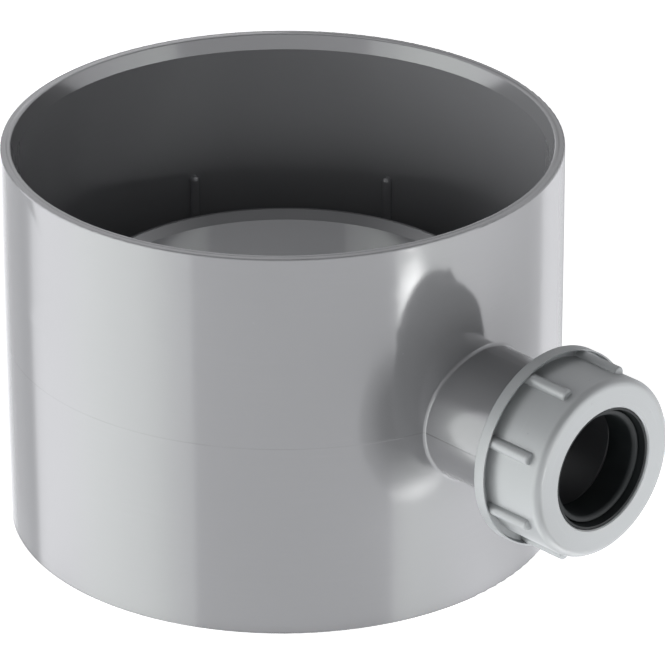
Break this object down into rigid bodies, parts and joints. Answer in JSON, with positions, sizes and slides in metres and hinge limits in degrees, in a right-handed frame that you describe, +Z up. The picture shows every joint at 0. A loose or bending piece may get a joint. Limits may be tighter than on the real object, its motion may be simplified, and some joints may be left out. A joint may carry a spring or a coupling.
{
  "type": "condensate trap",
  "caption": "Round drum trap for vertical ducting, with an inner gutter round an upstand tube and a side drain outlet closed by a compression nut and a rubber ring.",
  "frame": {"origin": "centre of the lower rim's end plane, on the drum's axis", "axes": "+Z up along the drum's axis, +X out along the drain outlet"},
  "size_m": [0.1426, 0.1102, 0.0795],
  "materials": {
    "body_plastic": "satin gloss, moulded",
    "nut_plastic": "satin, moulded",
    "seal_rubber": "smooth, moulded"
  },
  "bodies": {
    "trap": {"trap_body": "body_plastic"},
    "seal": {"sealing_ring": "seal_rubber"},
    "nut": {"compression_nut": "nut_plastic"}
  },
  "joints": [
    {"name": "nut_travel", "type": "slide", "parent": "trap", "child": "seal", "axis": [1, 0, 0], "range_m": [-0.0015, 0.005], "deforming": ["sealing_ring"]},
    {"name": "nut_turn", "type": "hinge", "parent": "seal", "child": "nut", "pos_m": [0.08, 0, 0.04], "axis": [1, 0, 0], "range_deg": [-180, 600]}
  ],
  "couplings": [
    {"joint": "nut_travel", "follows": "nut_turn", "m_per_rad": 0.00047746}
  ]
}
